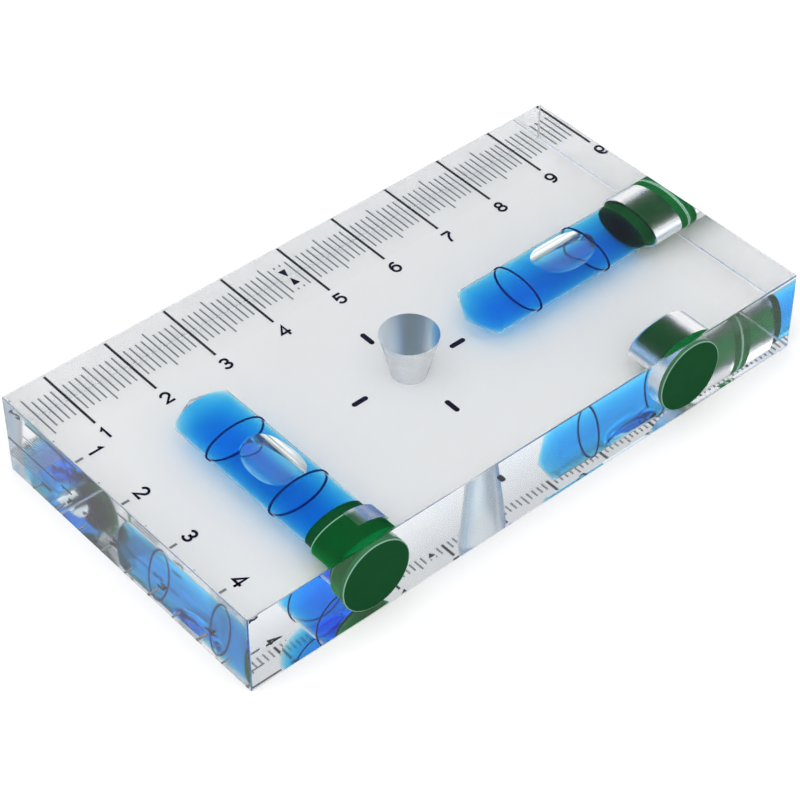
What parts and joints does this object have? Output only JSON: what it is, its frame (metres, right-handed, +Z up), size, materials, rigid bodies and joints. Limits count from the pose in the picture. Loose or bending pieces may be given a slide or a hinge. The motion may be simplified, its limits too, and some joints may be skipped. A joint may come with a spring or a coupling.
{
  "type": "magnetic t level",
  "caption": "Clear acrylic block level with bubble vials set in a T, a tapered sighting hole, ruler marks on its underside and magnets behind green caps.",
  "frame": {"origin": "middle of the underside, on the axis of the sighting hole", "axes": "+X along the block toward the end with the lengthwise vial's cap, +Y toward the long ruler edge, +Z up"},
  "size_m": [0.095, 0.051, 0.013],
  "materials": {
    "acrylic": "polished clear acrylic",
    "blue_liquid": "clear blue liquid",
    "ring_black": "matt black filling",
    "plug_green": "smooth green plastic",
    "cap_green": "smooth dark green plastic",
    "magnet_nickel": "nickel plated",
    "cement": "clear cement",
    "ink": "dark filled marks"
  },
  "bodies": {
    "root": {"acrylic_block": "acrylic", "cross_vial_liquid": "blue_liquid", "cross_vial_ring_outer": "ring_black", "cross_vial_ring_inner": "ring_black", "cross_vial_seal_plug": "plug_green", "long_vial_liquid": "blue_liquid", "long_vial_ring_outer": "ring_black", "long_vial_ring_inner": "ring_black", "long_vial_seal_plug": "plug_green", "front_left_magnet": "magnet_nickel", "front_left_cap": "cap_green", "front_left_cement": "cement", "front_right_magnet": "magnet_nickel", "front_right_cap": "cap_green", "right_end_magnet": "magnet_nickel", "right_end_cap": "cap_green", "back_edge_scale": "ink", "left_end_scale": "ink", "middle_arrow": "ink", "centre_dashes": "ink"}
  },
  "joints": []
}
